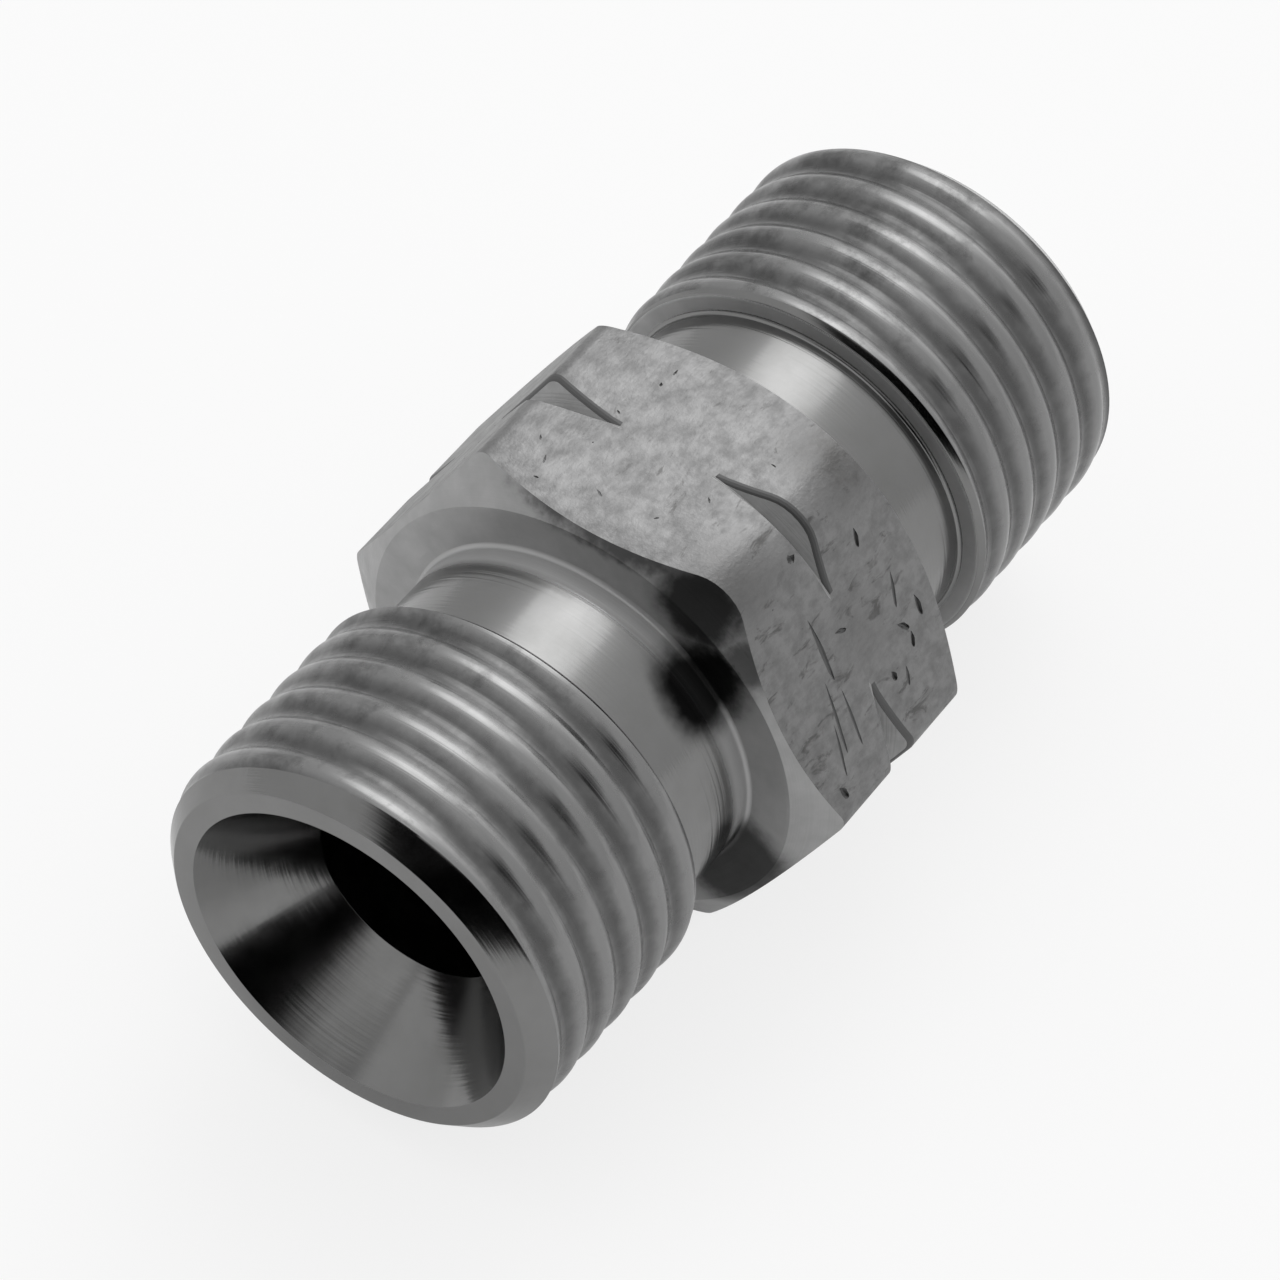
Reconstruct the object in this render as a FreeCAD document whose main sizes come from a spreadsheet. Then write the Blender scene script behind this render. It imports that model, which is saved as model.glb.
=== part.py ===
import FreeCAD, Part
import os
import Sketcher

# A gas hose connector with a male thread at each end, turned and milled from one hexagon bar.
# The bore lies along X, with the near end at -X and the far end at +X.
# +Z points out of the hexagon's top flat, and the connector rests on the opposite flat.
# The origin is on the bore's axis, in the middle of the hexagon.
# Each thread is here as its blank, turned to the thread's outside diameter. The fine left-hand
# groove that is cut into it, 18 turns to the inch, is part of the surface detail.

doc = FreeCAD.newDocument("gas_hose_connector")

# Driving sizes in millimetres and degrees.
sizes = doc.addObject("Spreadsheet::Sheet", "Sizes")
driving_sizes = [
    ("hexagon_width", 8.3, "length of the hexagon along the axis"),
    ("across_flats", 15.88, "spanner size, five eighths of an inch"),
    ("hexagon_face_diameter", 15.4, "round flat that the corner chamfer leaves on each hexagon face"),
    ("corner_chamfer_angle", 34, "slope of the hexagon's corner chamfer off its face"),
    ("mark_bottom_diameter", 16.1, "bottom of the V-groove that nicks the hexagon's corners"),
    ("mark_flank_angle", 30, "half of the V-groove's angle"),
    ("neck_length", 3.9, "plain turned neck between the hexagon and each thread"),
    ("neck_diameter", 12.4, "plain neck, a hair below the root of the thread"),
    ("neck_fillet_radius", 0.25, "radius where the neck meets the hexagon"),
    ("thread_length", 8.2, "threaded length at each end, chamfer included"),
    ("thread_diameter", 14.2, "outside diameter of the thread, nine sixteenths of an inch nominal"),
    ("end_chamfer", 0.7, "chamfer where each thread begins"),
    ("end_ring_width", 0.72, "flat ring around each mouth"),
    ("bore_diameter", 6.85, "bore through the whole length"),
    ("seat_angle", 34, "half of the conical seat's angle"),
    ("clearance_cut", 1.0, "how far the cutters stand out of the metal"),
]
for row, (name, value, note) in enumerate(driving_sizes, start=1):
    sizes.set("A%d" % row, name)
    sizes.set("B%d" % row, str(value))
    sizes.set("C%d" % row, note)
    sizes.setAlias("B%d" % row, name)
doc.recompute()

# Distances along the axis from the middle, worked out from the driving sizes.
half_hexagon = "(Sizes.hexagon_width / 2)"
shoulder = "(%s + Sizes.neck_length)" % half_hexagon
half_length = "(%s + Sizes.thread_length)" % shoulder
chamfer_end = "(%s - Sizes.end_chamfer)" % half_length

# Radii.
flat_distance = "(Sizes.across_flats / 2)"
corner_radius = "(%s / cos(30))" % flat_distance
corner_cut_radius = "(%s + Sizes.clearance_cut)" % corner_radius
face_radius = "(Sizes.hexagon_face_diameter / 2)"
mark_radius = "(Sizes.mark_bottom_diameter / 2)"
thread_radius = "(Sizes.thread_diameter / 2)"
neck_radius = "(Sizes.neck_diameter / 2)"
ring_radius = "(%s - Sizes.end_chamfer)" % thread_radius
mouth_radius = "(%s - Sizes.end_ring_width)" % ring_radius
bore_radius = "(Sizes.bore_diameter / 2)"

# The seats narrow from the mouth to the bore, so their depth follows from both radii.
seat_depth = "((%s - %s) / tan(Sizes.seat_angle))" % (mouth_radius, bore_radius)
seat_bottom = "(%s - %s)" % (half_length, seat_depth)

# Edges are told apart by their radius and place, which agree this closely, in millimetres.
match_tolerance = 1e-4


def value_of(expression):
    return float(sizes.evalExpression(expression))


def origin_plane(body, role):
    return next(item for item in body.Origin.OriginFeatures if item.Role == role)


def new_sketch(body, name, plane_role):
    sketch = body.newObject("Sketcher::SketchObject", name)
    sketch.AttachmentSupport = (origin_plane(body, plane_role), [""])
    sketch.MapMode = "FlatFace"
    return sketch


# A closed outline of straight sides, with each corner's two distances from the origin held by a size.
def draw_outline(sketch, corners):
    points = [FreeCAD.Vector(value_of(along), value_of(off), 0) for along, off in corners]
    count = len(points)
    for index in range(count):
        side = Part.LineSegment(points[index], points[(index + 1) % count])
        sketch.addGeometry(side, False)
    for index in range(count):
        sketch.addConstraint(Sketcher.Constraint("Coincident", index, 2, (index + 1) % count, 1))
    for index, (along, off) in enumerate(corners):
        place_along = Sketcher.Constraint("DistanceX", -1, 1, index, 1, points[index].x)
        place_off = Sketcher.Constraint("DistanceY", -1, 1, index, 1, points[index].y)
        sketch.setExpression("Constraints[%d]" % sketch.addConstraint(place_along), along)
        sketch.setExpression("Constraints[%d]" % sketch.addConstraint(place_off), off)


# The named feature is worked out and checked: it has to be sound and change the metal the right way.
def settle(feature, metal_before, removes):
    doc.recompute()
    if feature.Shape.isNull() or not feature.Shape.isValid():
        raise RuntimeError("%s has no sound shape" % feature.Name)
    change = feature.Shape.Volume - metal_before
    if (removes and change >= 0) or (not removes and change <= 0):
        raise RuntimeError("%s changes the metal by %.3f" % (feature.Name, change))
    return feature.Shape.Volume


def turned_cut(body, name, corners, metal):
    sketch = new_sketch(body, name + "Outline", "XZ_Plane")
    draw_outline(sketch, corners)
    cut = body.newObject("PartDesign::Groove", name)
    cut.Profile = sketch
    cut.ReferenceAxis = (sketch, ["H_Axis"])
    cut.Angle = 360
    return settle(cut, metal, removes=True)


body = doc.addObject("PartDesign::Body", "ConnectorBody")
body.Label = "connector_body"

# The turned bar: thread blanks with chamfered ends, and the necks, which run on under the hexagon.
bar_outline = new_sketch(body, "TurnedBarOutline", "XZ_Plane")
draw_outline(bar_outline, [
    ("-" + half_length, "0"),
    ("-" + half_length, ring_radius),
    ("-" + chamfer_end, thread_radius),
    ("-" + shoulder, thread_radius),
    ("-" + shoulder, neck_radius),
    (shoulder, neck_radius),
    (shoulder, thread_radius),
    (chamfer_end, thread_radius),
    (half_length, ring_radius),
    (half_length, "0"),
])
turned_bar = body.newObject("PartDesign::Revolution", "TurnedBar")
turned_bar.Profile = bar_outline
turned_bar.ReferenceAxis = (bar_outline, ["H_Axis"])
turned_bar.Angle = 360
metal = settle(turned_bar, 0, removes=False)

# The hexagon has flats at its top and bottom, and its corners point along Y.
hexagon_outline = new_sketch(body, "HexagonOutline", "YZ_Plane")
half_side = "(%s * tan(30))" % flat_distance
draw_outline(hexagon_outline, [
    (corner_radius, "0"),
    (half_side, flat_distance),
    ("-" + half_side, flat_distance),
    ("-" + corner_radius, "0"),
    ("-" + half_side, "-" + flat_distance),
    (half_side, "-" + flat_distance),
])
hexagon = body.newObject("PartDesign::Pad", "Hexagon")
hexagon.Profile = hexagon_outline
hexagon.SideType = "Symmetric"
hexagon.setExpression("Length", "Sizes.hexagon_width")
metal = settle(hexagon, metal, removes=False)


# A small radius joins each neck to its hexagon face, where a circle of the neck's radius lies.
def neck_corners(shape):
    names = []
    for number, edge in enumerate(shape.Edges, start=1):
        if not isinstance(edge.Curve, Part.Circle):
            continue
        same_radius = abs(edge.Curve.Radius - value_of(neck_radius)) < match_tolerance
        same_place = abs(abs(edge.Curve.Center.x) - value_of(half_hexagon)) < match_tolerance
        if same_radius and same_place:
            names.append("Edge%d" % number)
    return names


neck_fillets = body.newObject("PartDesign::Fillet", "NeckFillets")
neck_fillets.Base = (hexagon, neck_corners(hexagon.Shape))
neck_fillets.setExpression("Radius", "Sizes.neck_fillet_radius")
metal = settle(neck_fillets, metal, removes=False)

# Both ends of the hexagon are chamfered on the lathe, which takes only the corners.
chamfer_rise = "((%s - %s) * tan(Sizes.corner_chamfer_angle))" % (corner_cut_radius, face_radius)
for end_name, side in (("Near", "-"), ("Far", "")):
    metal = turned_cut(body, end_name + "CornerChamfer", [
        ("%s(%s + Sizes.clearance_cut)" % (side, half_hexagon), face_radius),
        (side + half_hexagon, face_radius),
        ("%s(%s - %s)" % (side, half_hexagon, chamfer_rise), corner_cut_radius),
        ("%s(%s + Sizes.clearance_cut)" % (side, half_hexagon), corner_cut_radius),
    ], metal)

# A V-groove around the middle of the hexagon nicks each corner, the mark of a left-hand thread.
mark_half_width = "((%s - %s) * tan(Sizes.mark_flank_angle))" % (corner_cut_radius, mark_radius)
metal = turned_cut(body, "LeftHandMark", [
    ("-" + mark_half_width, corner_cut_radius),
    ("0", mark_radius),
    (mark_half_width, corner_cut_radius),
], metal)

# The bore, with a conical seat inside each mouth.
turned_cut(body, "BoreAndSeats", [
    ("-" + half_length, "0"),
    ("-" + half_length, mouth_radius),
    ("-" + seat_bottom, bore_radius),
    (seat_bottom, bore_radius),
    (half_length, mouth_radius),
    (half_length, "0"),
], metal)

body.Placement = FreeCAD.Placement(FreeCAD.Vector(0, 0, 0), FreeCAD.Rotation(0, 0, 0, 1))
doc.recompute()

# Everything is checked before anything is written.
for item in doc.Objects:
    if "Invalid" in item.State or "Error" in item.State:
        raise RuntimeError("%s failed: %s" % (item.Name, item.State))
sub_parts = [body]
for sub_part in sub_parts:
    if sub_part.Shape.isNull() or not sub_part.Shape.isValid():
        raise RuntimeError("%s is not a sound solid" % sub_part.Label)

os.makedirs("parts", exist_ok=True)
for sub_part in sub_parts:
    sub_part.Shape.exportStep("parts/%s.step" % sub_part.Label)
    box = sub_part.Shape.optimalBoundingBox(False, False)
    print(sub_part.Label, "%.2f x %.2f x %.2f mm" % (box.XLength, box.YLength, box.ZLength),
          "%.1f mm3" % sub_part.Shape.Volume, len(sub_part.Shape.Solids), "solid")
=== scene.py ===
import math
import random

import bpy
from mathutils import Matrix, Vector


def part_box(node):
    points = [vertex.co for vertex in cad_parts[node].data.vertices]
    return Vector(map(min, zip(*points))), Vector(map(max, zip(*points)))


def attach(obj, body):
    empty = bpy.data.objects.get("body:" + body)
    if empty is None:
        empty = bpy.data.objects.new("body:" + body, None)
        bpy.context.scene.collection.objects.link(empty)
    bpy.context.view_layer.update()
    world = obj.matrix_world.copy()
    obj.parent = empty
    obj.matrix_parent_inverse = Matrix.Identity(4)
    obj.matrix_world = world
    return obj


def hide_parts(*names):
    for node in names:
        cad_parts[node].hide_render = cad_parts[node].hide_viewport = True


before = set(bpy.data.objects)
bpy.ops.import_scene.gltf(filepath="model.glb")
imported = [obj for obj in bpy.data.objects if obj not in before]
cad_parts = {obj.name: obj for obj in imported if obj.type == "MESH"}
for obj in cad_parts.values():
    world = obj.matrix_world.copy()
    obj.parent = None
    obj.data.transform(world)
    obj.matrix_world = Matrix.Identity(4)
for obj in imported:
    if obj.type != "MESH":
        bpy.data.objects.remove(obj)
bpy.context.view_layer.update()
random.seed(18)

# The connector is modelled in millimetres, because its thread is finer than the distances at which
# the modelling tools merge points, and the finished piece is brought to metres.
toMetres = 0.001
halfLength, cornerRadius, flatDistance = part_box("connector_body")[1] / toMetres
turnedSteps = 144  # faces around everything that was turned
noiseRange = (0.3, 0.7)  # a noise pattern hardly ever leaves these values
print("frame loaded, half length %.3f mm, flat at %.3f mm" % (halfLength, flatDistance))


# Small helpers for working by hand

def pickOnly(piece):
    if bpy.context.mode != "OBJECT":
        bpy.ops.object.mode_set(mode="OBJECT")
    bpy.ops.object.select_all(action="DESELECT")
    piece.select_set(True)
    bpy.context.view_layer.objects.active = piece


def startEdit(piece, selectMode="VERT"):
    pickOnly(piece)
    bpy.ops.object.mode_set(mode="EDIT")
    bpy.ops.mesh.select_mode(type=selectMode)
    bpy.ops.mesh.select_all(action="DESELECT")


# Selects what the test picks by its place, and is left in edit mode.
def selectWhere(piece, selectMode, test):
    startEdit(piece, selectMode)
    bpy.ops.object.mode_set(mode="OBJECT")
    mesh = piece.data
    parts = {"VERT": mesh.vertices, "EDGE": mesh.edges, "FACE": mesh.polygons}[selectMode]
    for part in parts:
        part.select = test(mesh, part)
    bpy.ops.object.mode_set(mode="EDIT")


def applyModifier(piece, kind, **settings):
    pickOnly(piece)
    modifier = piece.modifiers.new(kind.title(), kind)
    for setting, value in settings.items():
        setattr(modifier, setting, value)
    bpy.ops.object.modifier_apply(modifier=modifier.name)


# Cuts or joins two solids. The faces that the tool leaves keep the tool's finish.
def combine(piece, tool, operation):
    applyModifier(piece, "BOOLEAN", object=tool, operation=operation, solver="EXACT",
                  material_mode="TRANSFER")
    bpy.data.objects.remove(tool)


def joinPieces(pieces):
    pickOnly(pieces[0])
    for piece in pieces[1:]:
        piece.select_set(True)
    bpy.ops.object.join()
    return pieces[0]


# A copy with its own mesh, turned end for end about the upright axis. A thread keeps its hand.
def otherEnd(piece, name):
    pickOnly(piece)
    bpy.ops.object.duplicate()
    copy = bpy.context.object
    copy.name = name
    startEdit(copy)
    bpy.ops.mesh.select_all(action="SELECT")
    bpy.ops.transform.rotate(value=math.pi, orient_axis="Z", center_override=(0, 0, 0))
    pickOnly(copy)
    return copy


# A round solid along X: a disc whose face is extruded and scaled from station to station.
def turn(name, stations, finish):
    bpy.ops.object.select_all(action="DESELECT")
    lastX, lastRadius = stations[0]
    bpy.ops.mesh.primitive_circle_add(vertices=turnedSteps, radius=lastRadius, fill_type="NGON",
                                      location=(lastX, 0, 0), rotation=(0, math.pi / 2, 0))
    piece = bpy.context.object
    piece.name = name
    bpy.ops.object.transform_apply(location=True, rotation=True, scale=True)
    startEdit(piece, "FACE")
    bpy.ops.mesh.select_all(action="SELECT")
    for x, radius in stations[1:]:
        bpy.ops.mesh.extrude_region_move(TRANSFORM_OT_translate={"value": (x - lastX, 0, 0)})
        ratio = radius / lastRadius
        bpy.ops.transform.resize(value=(1, ratio, ratio), center_override=(x, 0, 0))
        lastX, lastRadius = x, radius
    bpy.ops.mesh.select_all(action="SELECT")
    bpy.ops.mesh.normals_make_consistent(inside=False)
    pickOnly(piece)
    piece.data.materials.append(finish)
    return piece


# An open outline above the axis, drawn point by point.
def drawOutline(name, points):
    bpy.ops.object.select_all(action="DESELECT")
    bpy.ops.mesh.primitive_plane_add(size=1, location=(0, 0, 0))
    piece = bpy.context.object
    piece.name = name
    startEdit(piece)
    bpy.ops.mesh.select_all(action="SELECT")
    bpy.ops.mesh.merge(type="CENTER")
    lastX, lastZ = points[0]
    bpy.ops.transform.translate(value=(lastX, 0, lastZ))
    for x, z in points[1:]:
        bpy.ops.mesh.extrude_vertices_move(TRANSFORM_OT_translate={"value": (x - lastX, 0, z - lastZ)})
        lastX, lastZ = x, z
    pickOnly(piece)
    return piece


# Points that round the corner of an outline, from one side to the next.
def roundCorner(before, corner, after, radius, steps):
    before, corner, after = Vector(before), Vector(corner), Vector(after)
    toBefore, toAfter = (before - corner).normalized(), (after - corner).normalized()
    half = toBefore.angle(toAfter) / 2
    middle = corner + (toBefore + toAfter).normalized() * radius / math.sin(half)
    first = (corner + toBefore * radius / math.tan(half) - middle).normalized()
    last = (corner + toAfter * radius / math.tan(half) - middle).normalized()
    return [tuple(middle + first.slerp(last, step / steps) * radius) for step in range(steps + 1)]


# Rounds the corners of an outline between its two ends, each with its own radius.
def roundOutline(points, radii, steps=2):
    rounded = [points[0]]
    for before, corner, after, radius in zip(points, points[1:], points[2:], radii):
        rounded += roundCorner(before, corner, after, radius, steps)
    return rounded + [points[-1]]


# Every colour is written as it looks on a screen, in sRGB.
def toLinear(hexColour):
    parts = [int(hexColour[start:start + 2], 16) / 255 for start in (1, 3, 5)]
    return [part / 12.92 if part <= 0.04045 else ((part + 0.055) / 1.055) ** 2.4
            for part in parts] + [1]


# Adds a node. A setting goes to the node itself, and a number, a colour or a link to the named socket.
def addNode(tree, kind, settings=None, sockets=None):
    new = tree.nodes.new(kind)
    for name, value in (settings or {}).items():
        setattr(new, name, value)
    for name, value in (sockets or {}).items():
        if isinstance(value, bpy.types.NodeSocket):
            tree.links.new(value, new.inputs[name])
        else:
            new.inputs[name].default_value = value
    return new


def newMaterial(name):
    material = bpy.data.materials.new(name)
    material.use_nodes = True
    tree = material.node_tree
    tree.nodes.clear()
    return material, tree


# Where a point of a turned surface lies: its place, how far along the axis and how far off it.
def addTurnedPlace(tree):
    place = addNode(tree, "ShaderNodeTexCoord").outputs["Object"]
    along = addNode(tree, "ShaderNodeSeparateXYZ", {}, {"Vector": place}).outputs["X"]
    acrossAxis = addNode(tree, "ShaderNodeVectorMath", {"operation": "MULTIPLY"},
                         {0: place, 1: (0, 1, 1)}).outputs["Vector"]
    radius = addNode(tree, "ShaderNodeVectorMath", {"operation": "LENGTH"},
                     {0: acrossAxis}).outputs["Value"]
    return place, along, radius


# The end of every steel: fine relief as bump, and the shader.
def endSteel(tree, colour, metallic, roughness, relief, reliefHeight):
    bump = addNode(tree, "ShaderNodeBump", {},
                   {"Height": relief, "Distance": reliefHeight * toMetres,
                    "Strength": 1.0}).outputs["Normal"]
    shader = addNode(tree, "ShaderNodeBsdfPrincipled", {},
                     {"Base Color": colour, "Metallic": metallic, "Roughness": roughness,
                      "Normal": bump})
    addNode(tree, "ShaderNodeOutputMaterial", {}, {"Surface": shader.outputs["BSDF"]})


# Free-cutting mild steel, turned: a soft sheen, with the fine circles that the feed of the tool
# leaves, which spread a highlight along the axis. Handling has dulled and faintly blotched it. Where
# a neck meets the hexagon the tool rubbed, so its last half millimetre is as dull as the faces.
turnedSteel = {
    "colour": "#888888",
    "dullColour": "#7b7b7a",
    "roughness": (0.13, 0.22),
    "feed": 0.13,  # mm between the tool's circles
    "markHeight": 0.004,  # mm
    "blotch": 1.6,  # mm across a dulled place
    "metallic": 1.0,
    "dullNeckEnds": True,  # as dull as the faces where it meets them
}
# The end faces of the hexagon and its chamfers were cut with the side of a tool, which left them
# scratched and duller than the necks.
facedSteel = {
    "colour": "#b8b8b8",
    "dullColour": "#a0a0a0",
    "roughness": (0.34, 0.48),
    "feed": 0.12,  # mm
    "markHeight": 0.009,  # mm
    "blotch": 0.9,  # mm
    "metallic": 0.5,
    "dullNeckEnds": False,
}
# In the V-groove the form tool rubbed more than it cut, so its flanks are torn and matt.
tornSteel = {
    "colour": "#b6b6b6",
    "dullColour": "#9c9c9c",
    "roughness": (0.42, 0.58),
    "feed": 0.09,  # mm
    "markHeight": 0.012,  # mm
    "blotch": 0.5,  # mm
    "metallic": 0.35,
    "dullNeckEnds": False,
}
# The dull end of each neck, in mm from the middle of the hexagon, and what it does to the steel.
neckEnd = {"dullFrom": 5.2, "dullAt": 4.7, "rougher": 0.24, "lessMetallic": 0.55}
# Painted shade and painted dark reflection: a near-black colour mixed into the turned, faced and torn
# steel where it would mirror the dark side of the room, in the corner between the near neck and the
# hexagon and on the near chamfer by the worn corner, as painted shadow on the underside of the near
# neck, and as a thin painted shadow along the near edge of the top flat. Each place has its middle in
# mm, how far the darkness is full and where it ends, its share of the colour, and how much a distance
# along X, Y and Z counts: the darkness reaches further in a direction that counts less.
shadeAndDarkReflection = {
    "colour": "#101010",
    "ragged": 1.2,  # mm by which the blotches pull its edge in or out
    "places": [
        ((-4.65, -4.5, 4.65), (1, 2.2), 1, (1.3, 1, 1)),
        ((-4.3, -5.7, -3.2), (1.6, 2.9), 0.95, (1.3, 1, 1)),
        ((-4, -3.9, 7.2), (0.9, 2.1), 0.95, (1.3, 1, 1)),
        ((-4, -5.6, 5.7), (0.4, 1.3), 0.8, (1.3, 1, 1)),
        ((-4, -0.9, 8.05), (0.15, 0.8), 0.8, (1, 0.1, 1)),
    ],
}


def makeTurnedSteel(name, finish):
    material, tree = newMaterial(name)
    place, along, radius = addTurnedPlace(tree)
    # The circles follow the tool along necks and cones, and inwards over faces, where they are wider.
    overFaces = 0.4
    toolPath = addNode(tree, "ShaderNodeMath", {"operation": "MULTIPLY_ADD"},
                       {0: radius, 1: overFaces, 2: along}).outputs["Value"]
    circles = addNode(tree, "ShaderNodeTexNoise", {"noise_dimensions": "1D"},
                      {"W": toolPath, "Scale": 1 / (finish["feed"] * toMetres), "Detail": 1.5,
                       "Roughness": 0.6}).outputs["Fac"]
    blotches = addNode(tree, "ShaderNodeTexNoise", {},
                       {"Vector": place, "Scale": 1 / (finish["blotch"] * toMetres), "Detail": 4,
                        "Roughness": 0.6}).outputs["Fac"]
    colour = addNode(tree, "ShaderNodeMix", {"data_type": "RGBA"},
                     {"Factor": blotches, 6: toLinear(finish["colour"]),
                      7: toLinear(finish["dullColour"])}).outputs[2]
    roughness = addNode(tree, "ShaderNodeMapRange", {},
                        {"Value": blotches, "From Min": noiseRange[0], "From Max": noiseRange[1],
                         "To Min": finish["roughness"][0],
                         "To Max": finish["roughness"][1]}).outputs["Result"]
    metallic = finish["metallic"]
    if finish["dullNeckEnds"]:
        fromMiddle = addNode(tree, "ShaderNodeMath", {"operation": "ABSOLUTE"},
                             {0: along}).outputs["Value"]
        dull = addNode(tree, "ShaderNodeMapRange", {"interpolation_type": "SMOOTHSTEP"},
                       {"Value": fromMiddle, "From Min": neckEnd["dullAt"] * toMetres,
                        "From Max": neckEnd["dullFrom"] * toMetres, "To Min": 1.0,
                        "To Max": 0.0}).outputs["Result"]
        colour = addNode(tree, "ShaderNodeMix", {"data_type": "RGBA"},
                         {"Factor": dull, 6: colour, 7: toLinear(facedSteel["colour"])}).outputs[2]
        roughness = addNode(tree, "ShaderNodeMath", {"operation": "MULTIPLY_ADD"},
                            {0: dull, 1: neckEnd["rougher"], 2: roughness}).outputs["Value"]
        metallic = addNode(tree, "ShaderNodeMath", {"operation": "MULTIPLY_ADD"},
                           {0: dull, 1: -neckEnd["lessMetallic"], 2: metallic}).outputs["Value"]
    # Painted shade and painted dark reflection: a near-black share of the colour around each place of
    # the list above this function.
    paintedShadeMask = 0.0
    # The blotches are about a half on average, so half of their pull is taken off again.
    offset = shadeAndDarkReflection["ragged"] / 2
    for middle, (fullReach, gone), shadeShare, counts in shadeAndDarkReflection["places"]:
        squeezed = addNode(tree, "ShaderNodeVectorMath", {"operation": "MULTIPLY"},
                           {0: place, 1: counts}).outputs["Vector"]
        start = tuple(value * count * toMetres for value, count in zip(middle, counts))
        away = addNode(tree, "ShaderNodeVectorMath", {"operation": "DISTANCE"},
                       {0: squeezed, 1: start}).outputs["Value"]
        ragged = addNode(tree, "ShaderNodeMath", {"operation": "MULTIPLY_ADD"},
                         {0: blotches, 1: shadeAndDarkReflection["ragged"] * toMetres, 2: away}).outputs["Value"]
        here = addNode(tree, "ShaderNodeMapRange", {"interpolation_type": "SMOOTHSTEP"},
                       {"Value": ragged, "From Min": (fullReach + offset) * toMetres,
                        "From Max": (gone + offset) * toMetres, "To Min": shadeShare,
                        "To Max": 0.0}).outputs["Result"]
        paintedShadeMask = addNode(tree, "ShaderNodeMath", {"operation": "MAXIMUM"},
                      {0: paintedShadeMask, 1: here}).outputs["Value"]
    colour = addNode(tree, "ShaderNodeMix", {"data_type": "RGBA"},
                     {"Factor": paintedShadeMask, 6: colour, 7: toLinear(shadeAndDarkReflection["colour"])}).outputs[2]
    endSteel(tree, colour, metallic, roughness, circles, finish["markHeight"])
    return material


# The same steel where the thread was cut: bright on the worn crests, and dull down in the groove,
# where oil and oxide stay and gather in dark patches.
threadSteel = {
    "crestColour": "#898989",
    "flankColour": "#747474",
    "rootColour": "#5e5e5e",
    "patchAndShadeColour": "#3a3a3a",
    "crestRadius": 7.08,  # mm
    "rootRadius": 6.92,  # mm
    "roughness": (0.17, 0.31),
    "grime": 0.7,  # mm across a dull place
    "wander": 0.14,  # mm by which the edge of the dull part wanders up and down the flank
    "patch": 1.9,  # mm across a dark patch
    # Painted shade: the patches grow towards the far end and the back (+Y), which darkens that side of
    # both threads, by so much for each metre along X, Y and Z.
    "shadeTowardsBack": (2.4, 26, 0),
    "patchFrom": 0.53,  # where in the noise a patch begins, and where it is as dark as it gets
    "patchFull": 0.72,
    "patchShare": 0.66,
    "drag": 0.16,  # mm between the marks that the cutter dragged along the groove
    "markHeight": 0.006,  # mm
}


def makeThreadSteel():
    material, tree = newMaterial("cut_thread_steel")
    place, along, radius = addTurnedPlace(tree)
    grime = addNode(tree, "ShaderNodeTexNoise", {},
                    {"Vector": place, "Scale": 1 / (threadSteel["grime"] * toMetres), "Detail": 5,
                     "Roughness": 0.65}).outputs["Fac"]
    wander = threadSteel["wander"]
    wandering = addNode(tree, "ShaderNodeMath", {"operation": "MULTIPLY_ADD"},
                        {0: grime, 1: -wander * toMetres, 2: radius}).outputs["Value"]
    height = addNode(tree, "ShaderNodeMapRange", {},
                     {"Value": wandering,
                      "From Min": (threadSteel["rootRadius"] - wander / 2) * toMetres,
                      "From Max": (threadSteel["crestRadius"] - wander / 2) * toMetres})
    ramp = addNode(tree, "ShaderNodeValToRGB", {}, {"Fac": height.outputs["Result"]})
    ramp.color_ramp.elements[0].color = toLinear(threadSteel["rootColour"])
    ramp.color_ramp.elements[1].color = toLinear(threadSteel["crestColour"])
    middle = ramp.color_ramp.elements.new(0.5)
    middle.color = toLinear(threadSteel["flankColour"])
    patches = addNode(tree, "ShaderNodeTexNoise", {},
                      {"Vector": place, "Scale": 1 / (threadSteel["patch"] * toMetres), "Detail": 7,
                       "Roughness": 0.7}).outputs["Fac"]
    # Painted shade: more dark patches towards the far end and the back, which darkens that side of the
    # threads.
    shadeTowardsBack = addNode(tree, "ShaderNodeVectorMath", {"operation": "DOT_PRODUCT"},
                     {0: place, 1: threadSteel["shadeTowardsBack"]}).outputs["Value"]
    patches = addNode(tree, "ShaderNodeMath", {"operation": "ADD"},
                      {0: patches, 1: shadeTowardsBack}).outputs["Value"]
    dirtAndShade = addNode(tree, "ShaderNodeMapRange", {},
                   {"Value": patches, "From Min": threadSteel["patchFrom"],
                    "From Max": threadSteel["patchFull"],
                    "To Max": threadSteel["patchShare"]}).outputs["Result"]
    colour = addNode(tree, "ShaderNodeMix", {"data_type": "RGBA"},
                     {"Factor": dirtAndShade, 6: ramp.outputs["Color"],
                      7: toLinear(threadSteel["patchAndShadeColour"])}).outputs[2]
    roughness = addNode(tree, "ShaderNodeMapRange", {},
                        {"Value": grime, "From Min": noiseRange[0], "From Max": noiseRange[1],
                         "To Min": threadSteel["roughness"][0],
                         "To Max": threadSteel["roughness"][1]}).outputs["Result"]
    overFlanks = 0.6
    toolPath = addNode(tree, "ShaderNodeMath", {"operation": "MULTIPLY_ADD"},
                       {0: radius, 1: overFlanks, 2: along}).outputs["Value"]
    drag = addNode(tree, "ShaderNodeTexNoise", {"noise_dimensions": "1D"},
                   {"W": toolPath, "Scale": 1 / (threadSteel["drag"] * toMetres), "Detail": 2,
                    "Roughness": 0.6}).outputs["Fac"]
    endSteel(tree, colour, 1.0, roughness, drag, threadSteel["markHeight"])
    return material


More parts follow.
